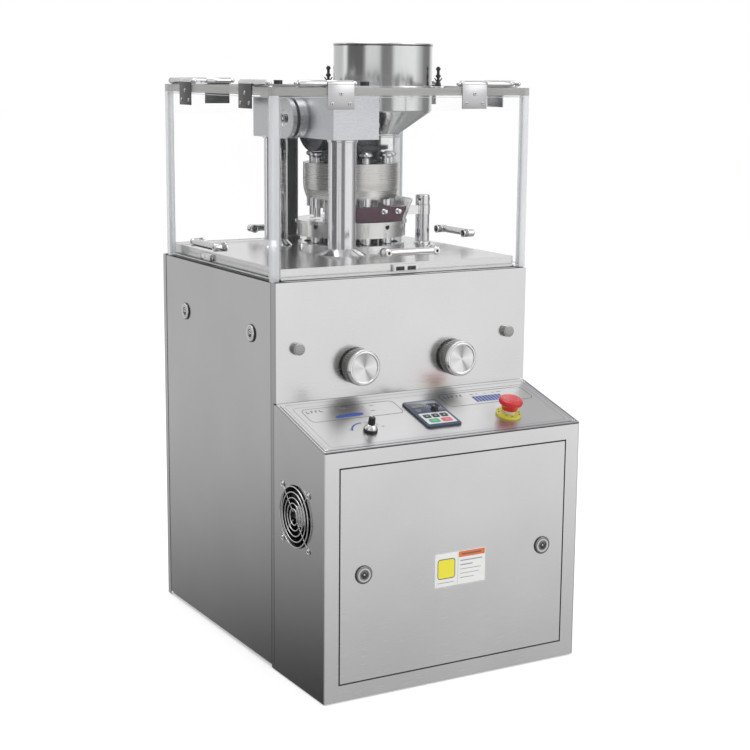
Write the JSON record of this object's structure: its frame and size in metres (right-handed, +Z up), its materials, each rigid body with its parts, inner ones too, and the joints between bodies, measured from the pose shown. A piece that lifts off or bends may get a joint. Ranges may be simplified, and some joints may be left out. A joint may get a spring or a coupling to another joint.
{
  "type": "rotary tablet press",
  "caption": "Bench-side rotary tablet press: stainless cabinet, turret with punches and dies under a roll head, hopper, feeder and a clear hinged guard.",
  "frame": {"origin": "centre of the footprint, on the floor", "axes": "+Z up, +X to the viewer's right, the control panel and electrical door face -Y"},
  "size_m": [0.5324, 0.6375, 1.0265],
  "materials": {
    "stainless_panel": "satin brushed stainless sheet",
    "stainless_plate": "fine brushed stainless plate",
    "polished_steel": "polished",
    "tool_steel": "ground tool steel",
    "dark_steel": "oiled dark steel",
    "head_metal": "satin, fine horizontal grain",
    "cast_grey": "machine grey paint over cast iron",
    "bronze": "oiled bronze",
    "motor_blue": "enamel",
    "belt_rubber": "matte rubber",
    "black_plastic": "moulded",
    "red_plastic": "moulded",
    "navy_plastic": "moulded",
    "phenolic": "dark red-brown laminate",
    "clear_acrylic": "polished clear acrylic",
    "lock_metal": "nickel plated"
  },
  "bodies": {
    "frame": {"base_frame": "cast_grey", "top_deck": "cast_grey", "table_plate": "stainless_plate", "upper_front_panel": "stainless_panel", "rear_panel": "stainless_panel", "right_side_panel": "stainless_panel", "cabinet_sides": "stainless_panel", "cabinet_frame": "stainless_panel", "control_panel": "stainless_plate", "inverter": "navy_plastic", "fan_housing": "black_plastic", "columns": "polished_steel", "head_casting": "head_metal", "roll_shaft": "polished_steel", "upper_cam": "dark_steel", "lower_cam": "dark_steel", "motor": "motor_blue", "v_belt": "belt_rubber", "feed_frame": "polished_steel", "feed_plate": "phenolic", "feeder_post": "polished_steel", "hopper_bracket": "stainless_plate", "guard_frame": "clear_acrylic", "hinge_brackets": "polished_steel"},
    "turret": {"upper_drum": "stainless_plate", "die_table": "stainless_plate", "lower_drum": "dark_steel", "dies": "tool_steel", "upper_punches": "tool_steel", "lower_punches": "tool_steel", "main_shaft": "dark_steel", "worm_wheel": "bronze"},
    "worm": {"worm_shaft": "dark_steel"},
    "motor_rotor": {"motor_pulley": "dark_steel"},
    "upper_roll": {"upper_roll": "dark_steel"},
    "roll_carrier": {"roll_carrier": "cast_grey"},
    "lower_roll": {"lower_roll": "dark_steel"},
    "dosing_cam": {"dosing_cam": "bronze"},
    "filling_handwheel": {"filling_handwheel": "polished_steel"},
    "pressure_handwheel": {"pressure_handwheel": "polished_steel"},
    "speed_knob": {"speed_knob": "black_plastic"},
    "keypad_dial": {"keypad_dial": "black_plastic"},
    "estop_button": {"estop_button": "red_plastic"},
    "fan_rotor": {"fan_rotor": "black_plastic"},
    "front_door": {"front_door": "clear_acrylic", "front_door_fittings": "polished_steel"},
    "rear_door": {"rear_door": "clear_acrylic", "rear_door_fittings": "polished_steel"},
    "left_door": {"left_door": "clear_acrylic", "left_door_fittings": "polished_steel"},
    "right_door": {"right_door": "clear_acrylic", "right_door_fittings": "polished_steel"},
    "electrical_door": {"electrical_door": "stainless_panel"},
    "door_lock_left": {"door_lock_left": "lock_metal"},
    "door_lock_right": {"door_lock_right": "lock_metal"},
    "left_side_panel": {"left_side_panel": "stainless_panel"},
    "left_lock_front": {"left_lock_front": "lock_metal"},
    "left_lock_rear": {"left_lock_rear": "lock_metal"},
    "hopper": {"hopper": "polished_steel", "hopper_spout": "clear_acrylic"}
  },
  "joints": [
    {"name": "turret_spin", "type": "hinge", "parent": "frame", "child": "turret", "pos_m": [0.0435, 0.12, 0.7], "axis": [0, 0, 1], "continuous": true},
    {"name": "worm_spin", "type": "hinge", "parent": "frame", "child": "worm", "pos_m": [0.1455, 0.12, 0.3475], "axis": [0, 1, 0], "continuous": true},
    {"name": "motor_spin", "type": "hinge", "parent": "frame", "child": "motor_rotor", "pos_m": [0.1455, 0.2, 0.11], "axis": [0, 1, 0], "continuous": true},
    {"name": "upper_roll_spin", "type": "hinge", "parent": "frame", "child": "upper_roll", "pos_m": [-0.0265, 0.12, 0.8954], "axis": [1, 0, 0], "continuous": true},
    {"name": "roll_carrier_slide", "type": "slide", "parent": "frame", "child": "roll_carrier", "axis": [0, 0, 1], "range_m": [-0.003, 0]},
    {"name": "lower_roll_spin", "type": "hinge", "parent": "roll_carrier", "child": "lower_roll", "pos_m": [-0.0265, 0.12, 0.537], "axis": [1, 0, 0], "continuous": true},
    {"name": "dosing_cam_slide", "type": "slide", "parent": "frame", "child": "dosing_cam", "axis": [0, 0, 1], "range_m": [-0.012, 0]},
    {"name": "filling_adjust", "type": "hinge", "parent": "frame", "child": "filling_handwheel", "pos_m": [-0.0935, -0.165, 0.5035], "axis": [0, -1, 0], "range_deg": [0, 1440]},
    {"name": "pressure_adjust", "type": "hinge", "parent": "frame", "child": "pressure_handwheel", "pos_m": [0.0935, -0.165, 0.5035], "axis": [0, -1, 0], "range_deg": [0, 720]},
    {"name": "speed_adjust", "type": "hinge", "parent": "frame", "child": "speed_knob", "pos_m": [-0.132, -0.26576, 0.42088], "axis": [0, -0.2604, 0.9655], "range_deg": [-150, 150]},
    {"name": "dial_adjust", "type": "hinge", "parent": "frame", "child": "keypad_dial", "pos_m": [0.009, -0.2281, 0.43103], "axis": [0, -0.2604, 0.9655], "range_deg": [-140, 140]},
    {"name": "estop_press", "type": "slide", "parent": "frame", "child": "estop_button", "axis": [0, -0.2604, 0.9655], "range_m": [-0.005, 0], "stiffness_N_per_m": 1000, "springref_m": 0.003},
    {"name": "fan_spin", "type": "hinge", "parent": "frame", "child": "fan_rotor", "pos_m": [-0.2215, -0.2195, 0.2835], "axis": [1, 0, 0], "continuous": true},
    {"name": "front_door_hinge", "type": "hinge", "parent": "frame", "child": "front_door", "pos_m": [0, -0.1392, 0.958], "axis": [-1, 0, 0], "range_deg": [0, 110]},
    {"name": "rear_door_hinge", "type": "hinge", "parent": "frame", "child": "rear_door", "pos_m": [0, 0.2861, 0.958], "axis": [1, 0, 0], "range_deg": [0, 110]},
    {"name": "left_door_hinge", "type": "hinge", "parent": "frame", "child": "left_door", "pos_m": [-0.2387, 0.07345, 0.958], "axis": [0, 1, 0], "range_deg": [0, 110]},
    {"name": "right_door_hinge", "type": "hinge", "parent": "frame", "child": "right_door", "pos_m": [0.2387, 0.07345, 0.958], "axis": [0, -1, 0], "range_deg": [0, 110]},
    {"name": "electrical_door_lift_off", "type": "slide", "parent": "frame", "child": "electrical_door", "axis": [0, -1, 0], "range_m": [0, 0.25]},
    {"name": "door_lock_left_turn", "type": "hinge", "parent": "electrical_door", "child": "door_lock_left", "pos_m": [-0.17, -0.315, 0.2045], "axis": [0, -1, 0], "range_deg": [0, 90]},
    {"name": "door_lock_right_turn", "type": "hinge", "parent": "electrical_door", "child": "door_lock_right", "pos_m": [0.17, -0.315, 0.2045], "axis": [0, -1, 0], "range_deg": [-90, 0]},
    {"name": "left_side_panel_lift_off", "type": "slide", "parent": "frame", "child": "left_side_panel", "axis": [-1, 0, 0], "range_m": [0, 0.15]},
    {"name": "left_lock_front_turn", "type": "hinge", "parent": "left_side_panel", "child": "left_lock_front", "pos_m": [-0.2395, -0.0575, 0.5545], "axis": [-1, 0, 0], "range_deg": [0, 90]},
    {"name": "left_lock_rear_turn", "type": "hinge", "parent": "left_side_panel", "child": "left_lock_rear", "pos_m": [-0.2395, 0.213, 0.5545], "axis": [-1, 0, 0], "range_deg": [0, 90]},
    {"name": "hopper_lift_off", "type": "slide", "parent": "frame", "child": "hopper", "axis": [0, 0, 1], "range_m": [0, 0.25]}
  ],
  "couplings": [
    {"joint": "worm_spin", "follows": "turret_spin", "ratio": 24},
    {"joint": "motor_spin", "follows": "turret_spin", "ratio": 48},
    {"joint": "upper_roll_spin", "follows": "turret_spin", "ratio": -1.2174},
    {"joint": "lower_roll_spin", "follows": "turret_spin", "ratio": 1.2174},
    {"joint": "dosing_cam_slide", "follows": "filling_adjust", "m_per_rad": -0.000477},
    {"joint": "roll_carrier_slide", "follows": "pressure_adjust", "m_per_rad": -0.000238}
  ]
}
